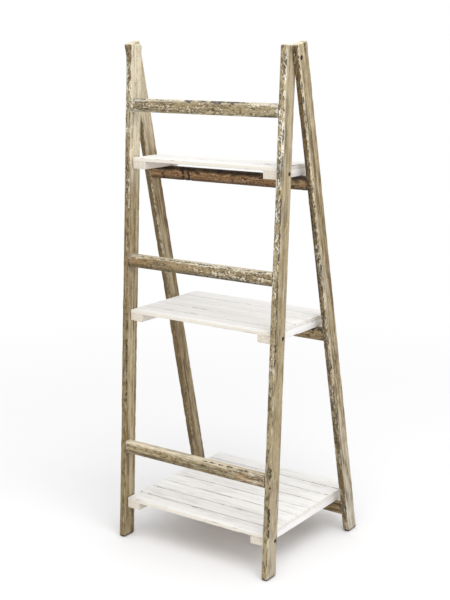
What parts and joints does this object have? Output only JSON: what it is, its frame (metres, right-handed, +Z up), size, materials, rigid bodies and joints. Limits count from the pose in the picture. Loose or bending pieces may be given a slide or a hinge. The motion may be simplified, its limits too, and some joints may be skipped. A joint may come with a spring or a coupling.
{
  "type": "folding ladder shelf",
  "caption": "Folding A-frame ladder shelf: distressed painted front and rear frames hinged at the top, with whitewashed slatted shelves that fold up between the legs.",
  "frame": {"origin": "on the floor, in the middle of the footprint of the open shelf", "axes": "+Z up, +X to the right seen from the front, +Y to the rear"},
  "size_m": [0.43, 0.3708, 1.0912],
  "materials": {
    "distressed_wood": "worn taupe paint with cream patches and dark chips along the arrises",
    "whitewashed_wood": "thin matt whitewash over wood grain",
    "dowel_wood": "plain beech, hidden in the joints",
    "dark_steel": "blackened screws, washers and brads"
  },
  "bodies": {
    "front_frame": {"front_leg_left": "distressed_wood", "front_leg_right": "distressed_wood", "front_rung_dowels": "dowel_wood", "front_rung_lower": "distressed_wood", "front_rung_middle": "distressed_wood", "front_rung_upper": "distressed_wood", "hinge_screws": "dark_steel", "hinge_spacers": "dark_steel"},
    "rear_frame": {"rear_leg_left": "distressed_wood", "rear_leg_right": "distressed_wood", "rear_rung_dowels": "dowel_wood", "rear_rung_lower": "distressed_wood", "rear_rung_middle": "distressed_wood", "rear_rung_upper": "distressed_wood"},
    "bottom_shelf": {"bottom_shelf_batten_left": "whitewashed_wood", "bottom_shelf_batten_right": "whitewashed_wood", "bottom_shelf_brads": "dark_steel", "bottom_shelf_pivot_screws": "dark_steel", "bottom_shelf_pivot_washers": "dark_steel", "bottom_shelf_slat_1": "whitewashed_wood", "bottom_shelf_slat_2": "whitewashed_wood", "bottom_shelf_slat_3": "whitewashed_wood", "bottom_shelf_slat_4": "whitewashed_wood", "bottom_shelf_slat_5": "whitewashed_wood", "bottom_shelf_slat_6": "whitewashed_wood", "bottom_shelf_slat_7": "whitewashed_wood", "bottom_shelf_slat_8": "whitewashed_wood", "bottom_shelf_stop_cleat_left": "whitewashed_wood", "bottom_shelf_stop_cleat_right": "whitewashed_wood", "bottom_shelf_stop_screws": "dark_steel"},
    "middle_shelf": {"middle_shelf_batten_left": "whitewashed_wood", "middle_shelf_batten_right": "whitewashed_wood", "middle_shelf_brads": "dark_steel", "middle_shelf_pivot_screws": "dark_steel", "middle_shelf_pivot_washers": "dark_steel", "middle_shelf_slat_1": "whitewashed_wood", "middle_shelf_slat_2": "whitewashed_wood", "middle_shelf_slat_3": "whitewashed_wood", "middle_shelf_slat_4": "whitewashed_wood", "middle_shelf_slat_5": "whitewashed_wood", "middle_shelf_stop_cleat_left": "whitewashed_wood", "middle_shelf_stop_cleat_right": "whitewashed_wood", "middle_shelf_stop_screws": "dark_steel"},
    "top_shelf": {"top_shelf_batten_left": "whitewashed_wood", "top_shelf_batten_right": "whitewashed_wood", "top_shelf_brads": "dark_steel", "top_shelf_pivot_screws": "dark_steel", "top_shelf_pivot_washers": "dark_steel", "top_shelf_slat_1": "whitewashed_wood", "top_shelf_slat_2": "whitewashed_wood", "top_shelf_slat_3": "whitewashed_wood", "top_shelf_stop_cleat_left": "whitewashed_wood", "top_shelf_stop_cleat_right": "whitewashed_wood", "top_shelf_stop_screws": "dark_steel"}
  },
  "joints": [
    {"name": "rear_frame_fold", "type": "hinge", "parent": "front_frame", "child": "rear_frame", "pos_m": [0, -0.10368, 1.05922], "axis": [-1, 0, 0], "range_deg": [0, 12]},
    {"name": "bottom_shelf_fold", "type": "hinge", "parent": "front_frame", "child": "bottom_shelf", "pos_m": [0, -0.15428, 0.08], "axis": [1, 0, 0], "range_deg": [0, 85]},
    {"name": "middle_shelf_fold", "type": "hinge", "parent": "front_frame", "child": "middle_shelf", "pos_m": [0, -0.13262, 0.5075], "axis": [1, 0, 0], "range_deg": [0, 85]},
    {"name": "top_shelf_fold", "type": "hinge", "parent": "front_frame", "child": "top_shelf", "pos_m": [0, -0.11598, 0.836], "axis": [1, 0, 0], "range_deg": [0, 85]}
  ]
}
